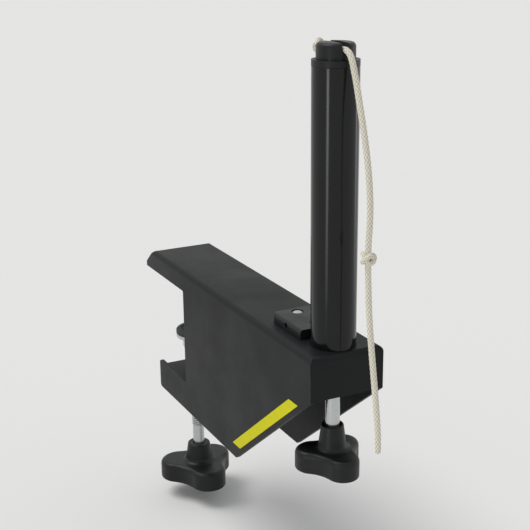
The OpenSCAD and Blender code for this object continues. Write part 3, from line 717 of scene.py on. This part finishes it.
def swept(route, radius, sides=36, sealed=0.0):
    """A braided tube along a route in mm, with ends melted round over the length sealed. Its length in mm
    and the share round it are its map cord_mm."""
    bm = bmesh.new()
    side, station = bm.verts.layers.int.new("side"), bm.verts.layers.int.new("station")
    tangents = [(b - a).normalized() for a, b in zip([route[0]] + route[:-1], route[1:] + [route[-1]])]
    lengths = [0.0]
    for a, b in zip(route, route[1:]):
        lengths.append(lengths[-1] + (b - a).length)
    ring = bmesh.ops.create_circle(bm, segments=sides, radius=radius)["verts"]
    for i, vert in enumerate(ring):
        vert[side] = i
    bmesh.ops.transform(bm, verts=ring, matrix=Matrix.Translation(route[0])
                        @ tangents[0].to_track_quat("Z", "X").to_matrix().to_4x4())
    edges, rings = list(bm.edges), [ring]
    for i in range(1, len(route)):
        ring, edges = next_ring(bm, edges)
        turn = tangents[i - 1].rotation_difference(tangents[i]).to_matrix().to_4x4()
        bmesh.ops.transform(bm, verts=ring, matrix=Matrix.Translation(route[i]) @ turn
                            @ Matrix.Translation(-route[i - 1]))
        for vert in ring:
            vert[station] = i
        rings.append(ring)
    for i, ring in enumerate(rings):
        left = min(lengths[i], lengths[-1] - lengths[i])
        closing = math.sqrt(max(0.04, 1 - (1 - left / sealed) ** 2)) if left < sealed else 1
        for vert in ring:
            cushion = (math.cos(2 * math.pi * lengths[i] / BRAID_STEP)
                       * math.cos(2 * math.pi * BRAID_ROUND * vert[side] / sides))
            share = closing * (1 - CUSHION_DEEP * (1 - cushion) / 2 / radius)
            vert.co = route[i] + (vert.co - route[i]) * share
    for ring in (rings[0], rings[-1]):
        bmesh.ops.contextual_create(bm, geom=ring)
    place = bm.loops.layers.uv.new("cord_mm")
    for face in bm.faces:
        wraps = {v[side] for v in face.verts} >= {0, sides - 1}
        for loop in face.loops:
            around = loop.vert[side] + (sides if wraps and loop.vert[side] == 0 else 0)
            loop[place].uv = (lengths[loop.vert[station]], around / sides)
    return bm


def with_close_ends(route, sealed):
    """Adds stations near both ends, so that the melted ends are round."""
    start, stop = route[0], route[-1]
    a, b = (route[1] - start).normalized(), (route[-2] - stop).normalized()
    inner = [p for p in route if min((p - start).length, (p - stop).length) > 1.1 * sealed]
    steps = [sealed * s for s in (0.05, 0.2, 0.45, 0.75, 1)]
    return [start] + [start + a * s for s in steps] + inner + [stop + b * s for s in reversed(steps)] + [stop]


tube = with_close_ends([p / MM for p in cord_route], MELTED)
cord_piece = finish_piece(swept(tube, CORD_R, sealed=MELTED), "cord_braided", "post", braid,
                          ["cord"], weighted=False, sharp=70)

# %% Knots on the cord
WIND_R, WIND_SWELL, WIND_REACH = 2.25, 0.5, 1.9


def knot_route(centre, way, stations=120):
    """A strand that winds twice round the cord's axis, at WIND_R give or take WIND_SWELL, while it goes three
    times out and back along it, up to WIND_REACH. At both ends it comes from the axis."""
    turn = way.to_track_quat("Z", "X").to_matrix()
    points = []
    for i in range(stations + 1):
        share = i / stations
        angle, out = 4 * math.pi * share, 6 * math.pi * share + 2.2
        grown = min(1, 9 * share, 9 * (1 - share))
        grown = grown * grown * (3 - 2 * grown)
        radius = grown * (WIND_R + WIND_SWELL * math.cos(out))
        points.append(centre + turn @ Vector((radius * math.cos(angle), radius * math.sin(angle),
                                              grown * WIND_REACH * math.sin(out))))
    return points


def tied_knot(name, node, way):
    """A knot in the place of the ball that stands for it, on a cord that runs in this direction."""
    low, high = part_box(node)
    return finish_piece(swept(knot_route((low + high) / 2 / MM, way), STRAND_R), name, "post", braid,
                        [node], weighted=False, sharp=70)


pull_knot = tied_knot("cord_knot_tied", "cord_knot", Vector((0.06, -0.05, 1)).normalized())
stop_knot = tied_knot("stop_knot_tied", "stop_knot", Vector((1, 0, 0)))

# %% [markdown]
# ## Floor and light
# The clamp hangs over a pale, matt floor, so wide that its edge is never seen, and low enough for the
# screw's knob when it is wound right down. A bright overcast sky and a wide, soft sun light all of it
# evenly, so that a colour looks as it is written. Where the camera, a mirroring or a clear surface looks
# past the floor, it sees the same pale tone as the floor's. Glossy black steel shows only what it mirrors,
# so two upright strip lamps stand where the post mirrors them to the camera, one to the front left and
# one behind on the right, as two narrow bright bands. Each has a grid before it, which keeps its light off
# the floor: a narrow spread does that. The camera's mirror image of the post's top comes from straight
# before a lamp, and that of its foot from aslant, where the grid lets less through, so the bands fade on
# the way down.

# %% Stage
BACKDROP = "#e4e5e4"
FLOOR_REACH = 80000
FLOOR_GAP = 2
floor_z = heights("clamp_knob")[0] + joints["foot_slide"]["range_m"][0] / MM - FLOOR_GAP
floor_paint, tree, shader = new_finish("matt_floor", Roughness=0.95, IOR=1.2, Specular_IOR_Level=0.1)
shader.inputs["Base Color"].default_value = linear("#f0efed")
sheet = bmesh.new()
bmesh.ops.create_circle(sheet, cap_ends=True, segments=96, radius=FLOOR_REACH * MM)
bmesh.ops.translate(sheet, vec=mm(0, 0, floor_z), verts=sheet.verts)
floor_mesh = bpy.data.meshes.new("floor")
sheet.to_mesh(floor_mesh)
sheet.free()
floor_mesh.materials.append(floor_paint)
floor = bpy.data.objects.new("floor", floor_mesh)
bpy.context.scene.collection.objects.link(floor)
print("the floor lies at", round(floor_z, 1), "mm")

# %% Sky
world = bpy.data.worlds.new("room")
bpy.context.scene.world = world
world.use_nodes = True
tree = world.node_tree
sky = tree.nodes["Background"]
sky.inputs["Color"].default_value = linear("#f4f6f8")
sky.inputs["Strength"].default_value = 0.55
seen = add(tree, "ShaderNodeLightPath", out="Is Camera Ray")
for ray in ("Is Glossy Ray", "Is Transmission Ray"):
    way = add(tree, "ShaderNodeLightPath", out=ray)
    seen = add(tree, "ShaderNodeMath", {0: seen, 1: way}, operation="MAXIMUM")
backdrop = add(tree, "ShaderNodeBackground", {"Color": linear(BACKDROP)})
add(tree, "ShaderNodeMixShader", {0: seen, 1: sky.outputs[0], 2: backdrop},
    to=tree.nodes["World Output"].inputs["Surface"])
print("sky of strength", sky.inputs["Strength"].default_value, "and a backdrop of", BACKDROP)

# %% Lamps


def lamp(name, kind, place, target, **settings):
    """A lamp at a place in mm that faces a point."""
    data = bpy.data.lights.new(name, kind)
    for setting, value in settings.items():
        setattr(data, setting, value)
    light = bpy.data.objects.new(name, data)
    bpy.context.scene.collection.objects.link(light)
    light.location = mm(*place)
    light.rotation_euler = (mm(*target) - light.location).to_track_quat("-Z", "Y").to_euler()


POST_FOOT = (141, 0, 20)
STRIP = {"shape": "RECTANGLE", "size": 90 * MM, "size_y": 240 * MM, "spread": math.radians(36)}
lamp("wide_sun", "SUN", (-200, -500, 1100), (60, 0, 0), energy=1.4, angle=math.radians(35))
lamp("strip_front_left", "AREA", (346, -455, -10), POST_FOOT, energy=0.017, **STRIP)
lamp("strip_behind", "AREA", (150, 520, -10), POST_FOOT, energy=0.006, **STRIP)
